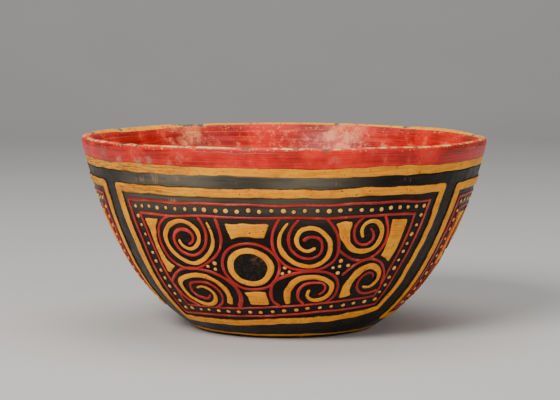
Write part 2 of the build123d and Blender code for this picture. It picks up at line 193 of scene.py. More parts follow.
# The roundel, its ring and the red line around it
ROUNDEL_CENTRE = (-22.8, 80.4)
ROUNDEL_BOSS_RADIUS = 11.9
ROUNDEL_RING_RADIUS = 14.5
ROUNDEL_RING_WIDTH = 5.0
ROUNDEL_LINE_RADIUS = 20.3
ROUNDEL_LINE_WIDTH = 2.2

# The loose dots that fill gaps between scrolls
FILL_DOTS = [(-54.5, 79.5), (-48.2, 82.5), (-48.8, 77.3), (1.2, 80.3), (4.8, 77.2), (0, 76),
             (40.3, 85.3), (35.2, 80.6), (40, 80.6), (46.2, 82), (39.6, 75.6)]

# The straight borders: corners from the top left, clockwise, and the width of each side.
# The dots stand along a row of their own, with so many steps to each side
FRAME = (
    [(-115.5, 138.8), (109.8, 139.9), (106.2, 100), (101.2, 60), (95.6, 34.8), (82, 32), (45, 27.2),
     (-5, 25.2), (-45, 21.5), (-119.5, 20.8)],
    [7.4, 6.0, 6.0, 6.0, 8.0, 8.0, 8.0, 8.0, 8.0, 7.4],
)
OUTER_LINE = (
    [(-108, 130), (100.3, 131.2), (88.3, 40.3), (45, 37), (-20, 31.2), (-109.7, 28.6)],
    [2.0] * 6,
)
DOT_ROW = [(-102.8, 125.6), (95.8, 126.6), (83.7, 46), (42.5, 42.3), (-20, 36.4), (-102.5, 34.6)]
DOT_STEPS = [29, 11, 4, 6, 8, 12]
INNER_LINE = (
    [(-99.8, 120.2), (89.4, 121.2), (80.7, 50), (50, 47.2), (-15, 41.6), (-60, 38.8), (-95, 38.8)],
    [2.0] * 7,
)

# The lip: how far down its rubbed crest reaches at least, where more, and how far down the
# inside its block shows
CREST_DROP = 1.3
DEEP_CREST = [(232, 22, 1.8), (125, 25, 0.7)]
CREST_FADE = 0.7
LIP_SLANT = 4.2

# Chips in the lip: angle around the bowl and width, in degrees, and depth in mm
LIP_CHIPS = [(-50, 2.4, 1.5), (-43, 1.6, 1.2), (-10, 2.6, 0.9), (3, 1.3, 1.2), (11, 2.0, 1.3),
             (38, 1.0, 0.5), (70, 1.6, 0.7), (101, 2.2, 1.0), (138, 2.0, 0.8), (163, 1.4, 0.7),
             (207, 1.6, 1.2), (212, 5.5, 1.4), (241, 1.6, 1.3), (262, 2.2, 0.9), (290, 1.4, 0.6)]

# Worn patches: angle in degrees, distance up the wall, half widths across and up in mm, strength
WORN_PATCHES = [
    (-60, 162, 7, 6, 0.45), (-51, 160, 6, 6, 0.5), (-43, 159, 5, 5, 0.5), (-39, 160, 2.5, 8, 0.65),
    (-30, 161, 9, 4, 0.35), (70, 157, 1.6, 5, 1.0), (64, 167, 9, 3, 0.5), (-44, 146, 8, 4, 0.6),
    (-38, 147, 3, 6, 0.7), (-31, 148, 9, 4, 0.6), (-33, 131, 6, 3, 0.9), (-14, 147, 8, 3, 0.4),
    (14, 146, 10, 3, 0.4), (36, 147, 6, 3, 0.5), (150, 160, 6, 8, 0.8), (196, 150, 9, 8, 0.7),
    (236, 162, 4, 7, 0.8), (120, 90, 14, 12, 0.35), (228, 70, 12, 12, 0.35),
]


# ---- shape of the wall

def wall_point(up, depth):
    """Radius and height on the wall, in mm, for distances up it and depths outside it."""
    up, depth = np.broadcast_arrays(np.asarray(up, float), np.asarray(depth, float))
    lower = FOOT_SLOPE - np.minimum(up, LOWER_ARC_LENGTH) / LOWER_ARC_RADIUS
    upper = MIDDLE_SLOPE - np.clip(up - LOWER_ARC_LENGTH, 0, LIP_START - LOWER_ARC_LENGTH) / UPPER_ARC_RADIUS
    rest = np.maximum(up - LIP_START, 0)
    radius = FOOT_RADIUS + LOWER_ARC_RADIUS * (np.cos(lower) - math.cos(FOOT_SLOPE))
    radius = radius + UPPER_ARC_RADIUS * (np.cos(upper) - math.cos(MIDDLE_SLOPE)) + rest * math.sin(LIP_SLOPE)
    height = LOWER_ARC_RADIUS * (math.sin(FOOT_SLOPE) - np.sin(lower))
    height = height + UPPER_ARC_RADIUS * (math.sin(MIDDLE_SLOPE) - np.sin(upper)) + rest * math.cos(LIP_SLOPE)
    slope = np.where(up < LOWER_ARC_LENGTH, lower, upper)
    return radius + depth * np.cos(slope), height - depth * np.sin(slope)


WALL_LENGTH = LIP_START + (BOWL_HEIGHT - float(wall_point(LIP_START, 0)[1])) / math.cos(LIP_SLOPE)


def hollow_profile(inset):
    """Section of the hollow from the middle of the floor to the lip, as radii and heights."""
    reach = LOWER_ARC_RADIUS - WALL_THICKNESS - inset
    bend = FLOOR_CORNER_RADIUS - inset
    arc_x = FOOT_RADIUS - LOWER_ARC_RADIUS * math.cos(FOOT_SLOPE)
    arc_z = LOWER_ARC_RADIUS * math.sin(FOOT_SLOPE)
    bend_z = FLOOR_HEIGHT + inset + bend
    bend_x = arc_x + math.sqrt((reach - bend) ** 2 - (arc_z - bend_z) ** 2)
    slope = math.atan2(arc_z - bend_z, bend_x - arc_x)
    floor = np.linspace(0.5, bend_x, 16, endpoint=False)
    turns = np.linspace(-math.pi / 2, -slope, 24, endpoint=False)
    ups = np.linspace(LOWER_ARC_RADIUS * (FOOT_SLOPE - slope), WALL_LENGTH, 70)
    wall_radius, wall_height = wall_point(ups, -WALL_THICKNESS - inset)
    radius = np.concatenate([floor, bend_x + bend * np.cos(turns), wall_radius])
    height = np.concatenate([np.full(16, FLOOR_HEIGHT + inset), bend_z + bend * np.sin(turns), wall_height])
    return radius, height


def full_turn(count):
    """Evenly spaced angles all the way round."""
    return np.linspace(0, 2 * math.pi, count, endpoint=False)


def about_axis(radius, angle, height):
    """Points round the bowl's axis, counted from the front towards its right."""
    return np.stack([radius * np.sin(angle), -radius * np.cos(angle), height], -1)


def ripple(points, wavelength, seed, count=16):
    """Smooth noise of about unit size through space, the same on every run."""
    rng = np.random.RandomState(seed)
    directions = rng.normal(size=(count, 3))
    directions /= np.linalg.norm(directions, axis=1)[:, None]
    lengths = wavelength * rng.uniform(0.7, 1.5, count)
    phases = rng.uniform(0, 2 * math.pi, count)
    waves = np.cos(points @ (directions / lengths[:, None] * 2 * math.pi).T + phases)
    return waves.sum(axis=-1) * math.sqrt(2 / count)


def smooth_step(value, low, high):
    """0 below low, 1 above high and a soft S between."""
    share = np.clip((value - low) / (high - low), 0, 1)
    return share * share * (3 - 2 * share)


def turned(angle, middle):
    """How far round from a middle an angle is, in degrees, from -180 to 180."""
    return (np.degrees(angle) - middle + 180) % 360 - 180


def around(angle, middle, width):
    """A bump of height 1 at a middle angle, in degrees, falling off over a width."""
    return np.exp(-(turned(angle, middle) / width) ** 2)


# How much a hand-cut bowl strays from round and level, and from which height its lip is chipped
OVAL = 0.0016
THREE_SIDED = 0.0010
LUMPS = 0.0014
TILT = -0.75
CHIPPED_HEIGHT = (139.5, 142.5)


def by_hand(points):
    """The small unevenness of a bowl cut by hand, the same for every piece, in mm."""
    angle = np.arctan2(points[..., 0], -points[..., 1])
    share = np.clip(points[..., 2] / BOWL_HEIGHT, 0, 1.1)
    swell = 1 + share * (OVAL * np.cos(2 * angle) + THREE_SIDED * np.cos(3 * angle + 1.3))
    swell = swell + LUMPS * share * ripple(points, 90.0, 11)
    out = points * 1.0
    out[..., :2] *= swell[..., None]
    lift = TILT * np.sin(angle) + 0.3 * np.cos(2 * angle + 0.5) + 0.25 * ripple(points * (1, 1, 0), 80.0, 12)
    for middle, width, depth in LIP_CHIPS:
        chip = around(angle, middle, width) * smooth_step(points[..., 2], *CHIPPED_HEIGHT)
        lift = lift - 0.5 * depth * chip
    out[..., 2] += lift * share ** 4
    return out


def place(across, up, depth, panel):
    """Sheet points at depths outside the wall, wrapped on a panel, in mm."""
    turn, stretch = PANELS[panel]
    angle = np.asarray(across) / SHEET_RADIUS * stretch + math.radians(turn)
    up = np.asarray(up)
    radius, height = wall_point(up + CROWDING * np.maximum(0, CROWDING_TOP - up), depth)
    return by_hand(about_axis(radius, angle, height))


# ---- building meshes

def add_object(name, data):
    """A new object in the scene."""
    made = bpy.data.objects.new(name, data)
    bpy.context.scene.collection.objects.link(made)
    return made


class Shape:
    """Gathers the points, faces and painted values of one piece."""

    def __init__(self):
        self.points, self.faces, self.edge, self.wear, self.flow = [], [], [], [], []
        self.count = 0

    def add(self, points, faces, edge, flow, wear=None):
        """Adds points in mm, faces that count from 0, and a value of each kind per point."""
        points = points.reshape(-1, 3)
        size = len(points)
        self.points.append(points)
        self.faces.extend([tuple(corner + self.count for corner in face) for face in faces])
        self.edge.append(np.broadcast_to(edge, flow.shape[:-1]).reshape(-1))
        self.flow.append(flow.reshape(-1, 3))
        self.wear.append(np.zeros(size) if wear is None else wear.reshape(-1))
        self.count += size

    def make(self, name, finish):
        """Turns what was gathered into a piece that stands for the CAD node of the same name."""
        material, slot = finish
        points = np.concatenate(self.points)
        mesh = bpy.data.meshes.new(name)
        mesh.from_pydata((points * MM).tolist(), [], self.faces)
        for label, kind, values in (("edge", "FLOAT", self.edge), ("wear", "FLOAT", self.wear),
                                    ("flow", "FLOAT_VECTOR", self.flow)):
            layer = mesh.attributes.new(label, kind, "POINT")
            field = "vector" if kind == "FLOAT_VECTOR" else "value"
            layer.data.foreach_set(field, np.concatenate(values).astype(np.float32).ravel())
        mesh.shade_smooth()
        mesh.materials.append(material)
        piece = add_object(name, mesh)
        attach(piece, "root")
        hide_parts(name)


def strip_faces(rows, columns, closed):
    """Quads of a tube: columns go round its section, rows go along it."""
    faces = []
    for row in range(rows if closed else rows - 1):
        following = (row + 1) % rows
        for column in range(columns):
            beside = (column + 1) % columns
            faces.append((row * columns + column, row * columns + beside,
                          following * columns + beside, following * columns + column))
    if not closed:
        faces.append(tuple(range(columns - 1, -1, -1)))
        faces.append(tuple((rows - 1) * columns + column for column in range(columns)))
    return faces


def smooth_line(points, spacing):
    """Evenly spaced points and headings on a natural cubic spline through the points."""
    points = np.asarray(points, float)
    steps = np.hypot(*np.diff(points, axis=0).T)
    knots = np.concatenate([[0], np.cumsum(steps)])
    size = len(points)
    matrix, right = np.eye(size), np.zeros((size, 2))
    for i in range(1, size - 1):
        matrix[i, i - 1:i + 2] = (steps[i - 1], 2 * (steps[i - 1] + steps[i]), steps[i])
        right[i] = 6 * ((points[i + 1] - points[i]) / steps[i] - (points[i] - points[i - 1]) / steps[i - 1])
    bend = np.linalg.solve(matrix, right)
    spots = np.linspace(0, knots[-1], max(8, int(knots[-1] / spacing)))
    index = np.clip(np.searchsorted(knots, spots, side="right") - 1, 0, size - 2)
    step = steps[index][:, None]
    after = (spots - knots[index])[:, None]
    before = step - after
    line = (bend[index] * before ** 3 + bend[index + 1] * after ** 3) / (6 * step)
    line = line + (points[index] / step - bend[index] * step / 6) * before
    line = line + (points[index + 1] / step - bend[index + 1] * step / 6) * after
    heading = np.gradient(line, axis=0)
    heading /= np.linalg.norm(heading, axis=1)[:, None]
    return line, heading


def distance_along(line):
    """How far along the line each of its points is."""
    return np.concatenate([[0], np.cumsum(np.hypot(*np.diff(line, axis=0).T))])


def both_sides(half):
    """A section from its left half."""
    return np.array(half + [(-across, high) for across, high in half[-2::-1]])


# Sections of raised work: place across from -1 to 1, and height from the ground, 1 at the top
FLAT_SECTION = both_sides([(-1.0, ROOT), (-0.98, 0.25), (-0.93, 0.62), (-0.82, 0.86), (-0.62, 0.96),
                           (-0.3, 1.0), (0.0, 1.01)])
RIDGE_SECTION = both_sides([(-1.0, ROOT), (-0.95, 0.3), (-0.8, 0.62), (-0.5, 0.88), (0.0, 1.0)])


def sweep(shape, flat, lift, section, along, across, closed, panel, seed):
    """Raises a section over flat points and adds it, with its own place along and across."""
    rise = np.where(section[:, 1] < 0, section[:, 1], section[:, 1] * lift[:, None])
    solid = place(flat[..., 0], flat[..., 1], COAT + rise, panel)
    flow = np.stack([np.broadcast_to(along[:, None], rise.shape), np.full(rise.shape, seed * 7.0),
                     np.broadcast_to(across, rise.shape)], -1)
    shape.add(solid, strip_faces(*rise.shape, closed), np.abs(section[:, 0]), flow)


def seeded(points, seed):
    """Sheet points with the seed as a third coordinate, so that noise differs from line to line."""
    return np.concatenate([points, np.full(points.shape[:-1] + (1,), float(seed))], -1)


def rough_sides(spot, wavelength, seed, section):
    """Noise along a line's two edges, spread over the section's points by the side they are on."""
    two = np.stack([ripple(spot, wavelength, seed), ripple(spot, wavelength, seed + 1)], -1)
    return two[:, np.where(section[:, 0] < 0, 0, 1)]


def stroke(shape, points, widths, section, tall, panel, seed):
    """A carved line with hand-cut edges and rounded ends."""
    line, heading = smooth_line(points, 0.9)
    normal = np.stack([-heading[:, 1], heading[:, 0]], -1)
    along = distance_along(line)
    half = np.interp(along / along[-1], np.linspace(0, 1, len(widths)), widths) / 2
    end = np.minimum(0.75 * half, LONGEST_END)
    from_end = np.clip(np.minimum(along, along[-1] - along) / end, 0.02, 1)
    shrink = np.sqrt(1 - (1 - from_end) ** 2)
    spot = seeded(line, seed)
    across = section[:, 0] * (half * shrink)[:, None] * (1 + 0.07 * rough_sides(spot, 9.0, seed, section))
    across = across + 0.22 * ripple(spot, 26.0, 21)[:, None]
    flat = line[:, None, :] + normal[:, None, :] * across[..., None]
    lift = tall * (0.45 + 0.55 * shrink) * (1 + 0.06 * ripple(spot, 12.0, seed + 2))
    sweep(shape, flat, lift, section, along, across, False, panel, seed)


def corner_loop(corners, offsets, rounding, steps):
    """A closed line that runs outside each side of the corners' line, with its corners rounded."""
    corners = np.asarray(corners, float)
    ahead = np.roll(corners, -1, axis=0) - corners
    ahead /= np.linalg.norm(ahead, axis=1)[:, None]
    behind = np.roll(ahead, 1, axis=0)
    outward = np.stack([-ahead[:, 1], ahead[:, 0]], -1)
    outward_behind = np.roll(outward, 1, axis=0)
    bisector = outward + outward_behind
    bisector /= np.sum(bisector * outward, axis=1)[:, None]
    moved = corners + bisector * ((offsets + np.roll(offsets, 1)) / 2)[:, None]
    turn = np.arccos(np.clip(np.sum(ahead * behind, axis=1), -1, 1))
    cut = rounding * np.tan(turn / 2)
    line = []
    for i, corner in enumerate(moved):
        start, end = corner - behind[i] * cut[i], corner + ahead[i] * cut[i]
        for share in np.linspace(0, 1, 7):
            line.append((1 - share) ** 2 * start + 2 * share * (1 - share) * corner + share ** 2 * end)
        target = moved[(i + 1) % len(moved)] - ahead[i] * cut[(i + 1) % len(moved)]
        for share in np.linspace(0, 1, steps[i] + 1)[1:-1]:
            line.append(end + (target - end) * share)
    return np.array(line)


def border(shape, corners, widths, section, tall, outer_rounding, panel, seed):
    """A closed carved line with straight sides, each with its own width."""
    lengths = np.linalg.norm(np.roll(corners, -1, axis=0) - np.asarray(corners, float), axis=1)
    steps = [max(2, int(length / 1.6)) for length in lengths]
    width = sum(widths) / len(widths)
    columns = []
    for place_across, _ in section:
        offsets = place_across * np.array(widths) / 2
        rounding = 0.05 + outer_rounding * (place_across + 1) / 2
        columns.append(corner_loop(corners, offsets, rounding, steps))
    flat = np.stack(columns, 1)
    middle = flat[:, len(section) // 2]
    spot = seeded(middle, seed)
    outward = flat[:, -1] - flat[:, 0]
    outward /= np.linalg.norm(outward, axis=1)[:, None]
    rough = rough_sides(spot, 11.0, seed, section)
    push = 0.3 * ripple(spot, 34.0, 22)[:, None] + 0.028 * width * rough * section[:, 0] ** 2
    flat = flat + outward[:, None, :] * push[..., None]
    lift = tall * (1 + 0.06 * ripple(spot, 14.0, seed + 2))
    sweep(shape, flat, lift, section, distance_along(middle), section[:, 0] * width / 2, True, panel, seed)


def ring(shape, centre, radius, width, section, tall, panel, seed):
    """A closed round carved line."""
    turns = full_turn(110)
    unit = np.stack([np.cos(turns), np.sin(turns)], -1)
    spot = seeded(unit * radius, seed)
    reach = radius + section[:, 0] * width / 2 * (1 + 0.06 * rough_sides(spot, 10.0, seed, section))
    reach = reach + 0.25 * ripple(spot, 22.0, 23)[:, None]
    flat = np.asarray(centre) + unit[:, None, :] * reach[..., None]
    lift = np.full(len(turns), tall)
    sweep(shape, flat, lift, section, turns * radius, reach - radius, True, panel, seed)


def mound(shape, centre, radius, heights, panel, seed, sides=14, roughness=0.0):
    """A low round boss: heights run from its edge to its middle."""
    rows = len(heights)
    rng = np.random.RandomState(seed)
    squash = rng.uniform(0.9, 1.1, 2) * radius
    squash[0] *= SHEET_RADIUS / float(wall_point(centre[1], 0)[0]) / PANELS[panel][1]
    turns = full_turn(sides)
    spread = np.cos(np.linspace(0, math.pi / 2, rows)) if roughness == 0 else np.linspace(1, 0, rows)
    spread[-1] = 0.02
    across = centre[0] + squash[0] * spread[:, None] * np.cos(turns)
    up = centre[1] + squash[1] * spread[:, None] * np.sin(turns)
    spot = seeded(np.stack([across, up], -1), seed)
    inside = smooth_step(1 - spread, 0.0, 0.15)[:, None]
    pecks = ripple(spot, 3.4, seed) + 0.8 * ripple(spot, 1.8, seed + 1)
    rise = np.asarray(heights)[:, None] + roughness * inside * pecks
    solid = place(across, up, COAT + rise, panel)
    flow = np.stack([across, np.full(across.shape, seed * 7.0), up], -1)
    shape.add(solid, strip_faces(rows, sides, False), spread[:, None], flow)


def densify(corners, spacing):
    """The same closed outline with points no further apart than the spacing."""
    dense = []
    for start, end in zip(corners, np.roll(corners, -1, axis=0)):
        count = max(1, math.ceil(np.linalg.norm(end - start) / spacing))
        dense.extend(start + (end - start) * step / count for step in range(count))
    return np.array(dense)


def block(shape, corners, tall, panel, seed):
    """A flat-topped block with soft, slightly rounded edges, filled with a fine grid."""
    corners = np.asarray(corners, float)
    for _ in range(2):
        ahead = np.roll(corners, -1, axis=0)
        corners = np.stack([corners * 0.93 + ahead * 0.07, corners * 0.07 + ahead * 0.93], 1).reshape(-1, 2)
    corners = densify(corners, 1.2)
    spot = seeded(corners, seed)
    corners = corners + 0.22 * np.stack([ripple(spot, 9.0, seed), ripple(spot, 9.0, seed + 1)], -1)
    low, high = corners.min(axis=0), corners.max(axis=0)
    ahead = np.roll(corners, -1, axis=0)
    work = bmesh.new()
    work.faces.new([work.verts.new((x, y, 0)) for x, y in corners])
    for axis in (0, 1):
        for cut in np.arange(low[axis] + 0.37, high[axis], BLOCK_GRID):
            facing = np.eye(3)[axis]
            bmesh.ops.bisect_plane(work, geom=work.verts[:] + work.edges[:] + work.faces[:],
                                   plane_co=facing * cut, plane_no=facing)
    bmesh.ops.triangulate(work, faces=[face for face in work.faces if len(face.verts) > 4])
    top = np.array([vert.co[:2] for vert in work.verts])
    gap = np.full(len(top), 1e9)
    for start, end in zip(corners, ahead):
        run = end - start
        share = np.clip((top - start) @ run / (run @ run), 0, 1)
        gap = np.minimum(gap, np.linalg.norm(top - start - share[:, None] * run, axis=1))
    share = np.clip(gap / BLOCK_EDGE, 0, 1)
    rise = tall * np.sqrt(1 - (1 - share) ** 2) * (1 + 0.02 * share)
    work.verts.index_update()
    faces = [tuple(vert.index for vert in face.verts) for face in work.faces]
    links = {loop.vert.index: loop.link_loop_next.vert.index
             for face in work.faces for loop in face.loops if loop.edge.is_boundary}
    work.free()
    order = [min(links)]
    while links[order[-1]] != order[0]:
        order.append(links[order[-1]])
    size = len(top)
    flat = np.concatenate([top, top[order]])
    rise = np.concatenate([rise, np.full(len(order), ROOT)])
    skirt = [(order[i - 1], size + (i - 1) % len(order), size + i, order[i]) for i in range(len(order))]
    floor = [tuple(size + i for i in reversed(range(len(order))))]
    solid = place(flat[:, 0], flat[:, 1], COAT + rise, panel)
    edge = 1 - np.clip(np.concatenate([gap, np.zeros(len(order))]) / (BLOCK_EDGE * 1.6), 0, 1)
    flow = np.stack([flat[:, 0], np.full(len(flat), seed * 7.0), flat[:, 1]], -1)
    shape.add(solid, faces + skirt + floor, edge, flow)


def worn(angle, up):
    """How worn the paint is at places on the wall, from the listed patches."""
    total = np.zeros(np.broadcast(angle, up).shape)
    for middle, height, half_across, half_up, strength in WORN_PATCHES:
        away = turned(angle, middle) * math.radians(1) * BAND_RADIUS
        total = total + strength * np.exp(-(away / half_across) ** 2 - ((up - height) / half_up) ** 2)
    return np.clip(total, 0, 1)


def coat_band(name, low, high, rows, finish, free_low=False, free_high=False, texture=0.0):
    """A painted band of the wall. low and high give its edges for each angle."""
    angle = full_turn(BAND_STEPS)[:, None]
    share = np.linspace(0, 1, rows)[None, :]
    up = low(angle) + (high(angle) - low(angle)) * share
    span = up[:, -1:] - up[:, :1]
    edge_gap = np.minimum(up - up[:, :1] if free_low else span, up[:, -1:] - up if free_high else span)
    east, north = BAND_RADIUS * np.sin(angle), BAND_RADIUS * np.cos(angle)
    around_points = np.stack([east + 0 * up, 0 * up - north, up], -1)
    depth = COAT * (0.15 + 0.85 * smooth_step(edge_gap, 0, 0.9))
    depth = depth + texture * (0.6 * ripple(around_points, 7.0, 31) + 0.4 * ripple(around_points, 3.0, 32))
    top_radius, top_height = wall_point(up, depth)
    under_radius, under_height = wall_point(up[:, ::-1], ROOT)
    radius = np.concatenate([top_radius, under_radius], 1)
    height = np.maximum(np.concatenate([top_height, under_height], 1), 0.02)
    both_up = np.concatenate([up, up[:, ::-1]], 1)
    solid = by_hand(about_axis(radius, angle, height))
    flow = np.stack([east + 0 * both_up, north + 0 * both_up, both_up], -1)
    border_gap = np.minimum(both_up - up[:, :1], up[:, -1:] - both_up)
    edge = 1 - np.clip(border_gap / 1.2, 0, 1)
    shape = Shape()
    shape.add(solid, strip_faces(BAND_STEPS, rows * 2, True), edge, flow, worn(angle, both_up))
    shape.make(name, finish)


def revolved(name, radius, height, wear, chips, finish, steps):
    """A closed turned piece. Its section runs from the axis round to the axis again."""
    angle = full_turn(steps)[:, None]
    radius, height = np.asarray(radius)[None, :], np.asarray(height)[None, :] + 0 * angle
    points = about_axis(radius, angle, height)
    solid = by_hand(points)
    shape = Shape()
    rows, columns = solid.shape[:2]
    faces = [face for face in strip_faces(rows, columns, True) if face[0] % columns < columns - 1]
    faces.append(tuple(row * columns for row in range(rows)))
    faces.append(tuple(row * columns + columns - 1 for row in reversed(range(rows))))
    shape.add(solid, faces, chips(angle, radius, height), points, wear(angle, radius, height))
    shape.make(name, finish)


# ---- materials

class Paint:
    """Helps to build one material's nodes."""

    def __init__(self, name):
        self.material = bpy.data.materials.new(name)
        self.material.use_nodes = True
        self.tree = self.material.node_tree
        self.surface = self.tree.nodes["Principled BSDF"]
        self.place = self.node("ShaderNodeTexCoord").outputs["Object"]
        self.flow = self.value("flow", "Vector")

    def node(self, kind, inputs=(), **settings):
        made = self.tree.nodes.new(kind)
        for key, value in settings.items():
            setattr(made, key, value)
        for key, value in dict(inputs).items():
            if isinstance(value, bpy.types.NodeSocket):
                self.tree.links.new(value, made.inputs[key])
            else:
                made.inputs[key].default_value = value
        return made

    def value(self, name, output="Fac"):
        return self.node("ShaderNodeAttribute", attribute_name=name).outputs[output]

    def noise(self, scale, detail, roughness, stretch=None, vector=None):
        vector = self.place if vector is None else vector
        if stretch is not None:
            vector = self.node("ShaderNodeMapping", {"Vector": vector, "Scale": stretch}).outputs[0]
        made = self.node("ShaderNodeTexNoise",
                         {"Vector": vector, "Scale": scale, "Detail": detail, "Roughness": roughness})
        return made.outputs[0]

    def streaks(self, detail, roughness, along, across):
        """Noise drawn out along a carved line or a band, or across it."""
        return self.noise(1.0, detail, roughness, (along, along, across), self.flow)

    def between(self, value, low, high, to_low=0.0, to_high=1.0):
        made = self.node("ShaderNodeMapRange", {0: value, 1: low, 2: high, 3: to_low, 4: to_high},
                         interpolation_type="SMOOTHSTEP")
        return made.outputs[0]

    def math(self, operation, first, second=0.0):
        return self.node("ShaderNodeMath", {0: first, 1: second}, operation=operation).outputs[0]

    def plus(self, first, second):
        return self.math("ADD", first, second)

    def times(self, first, second):
        return self.math("MULTIPLY", first, second)

    def axes(self):
        """The x, y and z of a place on the bowl, in metres."""
        return self.node("ShaderNodeSeparateXYZ", {0: self.place}).outputs

    def mix(self, share, first, second):
        return self.node("ShaderNodeMix", {0: share, 6: first, 7: second}, data_type="RGBA").outputs[2]

    def cover(self, under, over, value, low, high, most=1.0):
        """One colour over another, from none below low to the most above high."""
        return self.mix(self.between(value, low, high, 0.0, most), under, over)

    def finish(self, colour, gloss, *bumps, specular=0.5):
        """The material. gloss is a noise, its range and the roughness at both ends of it.

        Each bump is a height, how tall it is in metres, and its strength.
        """
        roughness, under = self.between(*gloss), {}
        for height, distance, strength in bumps:
            inputs = {"Height": height, "Distance": distance, "Strength": strength, **under}
            normal = self.node("ShaderNodeBump", inputs).outputs[0]
            under = {"Normal": normal}
        self.tree.links.new(colour, self.surface.inputs["Base Color"])
        self.tree.links.new(roughness, self.surface.inputs["Roughness"])
        self.tree.links.new(normal, self.surface.inputs["Normal"])
        self.surface.inputs["Specular IOR Level"].default_value = specular
        return self.material


def rgb(red, green, blue):
    """A colour for a node, from linear parts."""
    return (red, green, blue, 1.0)


OCHRE = rgb(0.98, 0.355, 0.003)
OCHRE_PALE = rgb(1.00, 0.440, 0.008)
OCHRE_DEEP = rgb(0.56, 0.160, 0.002)
CREAM = rgb(0.95, 0.600, 0.200)
RED = rgb(0.56, 0.007, 0.002)
RED_BRIGHT = rgb(0.94, 0.012, 0.001)
RED_DEEP = rgb(0.24, 0.006, 0.004)
CRIMSON = rgb(0.38, 0.009, 0.007)
CRIMSON_BRIGHT = rgb(0.62, 0.020, 0.010)
# Pink of the painted highlights and sheen on red
PINK_SHEEN = rgb(0.90, 0.220, 0.110)
PALE_PINK = rgb(1.00, 0.370, 0.140)
GREY_WORN = rgb(0.34, 0.200, 0.120)
BLACK = rgb(0.004, 0.0035, 0.003)
BROWN_RUBBED = rgb(0.060, 0.025, 0.009)
# Grey of the painted sheen on the black
GREY_SHEEN = rgb(0.125, 0.108, 0.078)
GREY_DUST = rgb(0.100, 0.085, 0.065)
# Dark brown of specks, and of the outlines that are partly painted shade at the feet of raised work
DARK_FLECK_AND_EDGE_SHADE = rgb(0.030, 0.011, 0.004)
DOT_GOLD = rgb(0.84, 0.320, 0.020)
DOT_CREAM = rgb(0.96, 0.500, 0.090)
PITTED_BROWN = rgb(0.030, 0.020, 0.014)
# Brown of the painted highlight on the boss
BOSS_HIGHLIGHT = rgb(0.13, 0.055, 0.032)
WOOD_DARK = rgb(0.060, 0.030, 0.014)
WOOD_PALE = rgb(0.170, 0.092, 0.042)
WOOD_FIBRE = rgb(0.035, 0.018, 0.010)
LIP_DIRT = rgb(0.10, 0.08, 0.05)
LIP_CHIPPED = rgb(0.110, 0.095, 0.058)
FLOOR_DARK = rgb(0.60, 0.59, 0.57)
FLOOR_PALE = rgb(0.66, 0.65, 0.63)

# Where wear, the painted sheen on the black and the painted highlight on the boss lie, in metres: low and
# high edges across the bowl, along it or above the foot
SCRATCHED_SIDE = (-0.105, -0.035)
SCRATCHED_HEIGHT = (0.095, 0.108)
# Painted sheen on the black: high on the front, fading at the far left
SHEEN_HEIGHT = (0.078, 0.124)
SHEEN_RIGHT = (0.010, 0.075)
SHEEN_LEFT = (-0.128, -0.096)
BACK_HALF = (-0.04, 0.06)
# Painted highlight on the boss: the height over which it fades in
BOSS_HIGHLIGHT_HEIGHT = (0.056, 0.068)
LIP_PALE = [(-0.080, 0.022), (0.050, 0.030)]  # middle and reach


def ochre_paint(name):
    """Matt ochre: brush streaks, dabs, dark specks, scratches at the left and a dark outline, partly the
    paint's edge and partly painted shade at its foot.
    """
    p = Paint(name)
    streaks = p.streaks(5.0, 0.65, 0.045, 1.1)
    patches = p.noise(38.0, 4.0, 0.6)
    fine = p.noise(900.0, 3.0, 0.6)
    colour = p.mix(p.between(streaks, 0.36, 0.60, 0.3, 1.0), OCHRE_DEEP, OCHRE)
    colour = p.cover(colour, OCHRE_PALE, patches, 0.42, 0.66, 0.6)
    rubbed = p.noise(260.0, 5.0, 0.7)
    colour = p.cover(colour, CREAM, rubbed, 0.62, 0.76, 0.3)
    dabs = p.noise(110.0, 4.0, 0.7)
    colour = p.cover(colour, OCHRE_DEEP, dabs, 0.50, 0.66, 0.55)
    scored = p.streaks(3.0, 0.6, 0.12, 2.6)
    colour = p.cover(colour, BROWN_RUBBED, scored, 0.61, 0.74, 0.45)
    across, _, above = p.axes()
    side = p.times(p.between(across, *SCRATCHED_SIDE, 1.0, 0.0), p.between(above, *SCRATCHED_HEIGHT))
    scratches = p.between(p.streaks(5.0, 0.75, 0.10, 1.6), 0.46, 0.60)
    colour = p.mix(p.times(side, p.times(scratches, 0.75)), colour, BROWN_RUBBED)
    specks = p.between(p.noise(520.0, 2.0, 0.5), 0.66, 0.74)
    colour = p.mix(specks, colour, DARK_FLECK_AND_EDGE_SHADE)
    # dark outline: partly the paint's edge, partly painted shade where the raised work meets the ground
    ragged = p.plus(p.value("edge"), p.times(rubbed, 0.30))
    colour = p.cover(colour, DARK_FLECK_AND_EDGE_SHADE, ragged, 0.92, 1.12)
    colour = p.mix(p.times(p.value("wear"), 0.6), colour, GREY_WORN)
    return p.finish(colour, (streaks, 0.3, 0.7, 0.46, 0.64),
                    (streaks, 0.00012, 0.8), (fine, 0.00004, 0.6), specular=0.2)


def red_base(p, plain, bright):
    """Streaks and patches of two reds over a deep one, as colour, streaks and patches."""
    streaks = p.streaks(6.0, 0.7, 0.02, 0.9)
    patches = p.noise(30.0, 5.0, 0.6)
    colour = p.cover(RED_DEEP, plain, streaks, 0.36, 0.62)
    return p.cover(colour, bright, patches, 0.40, 0.66, 0.8), streaks, patches


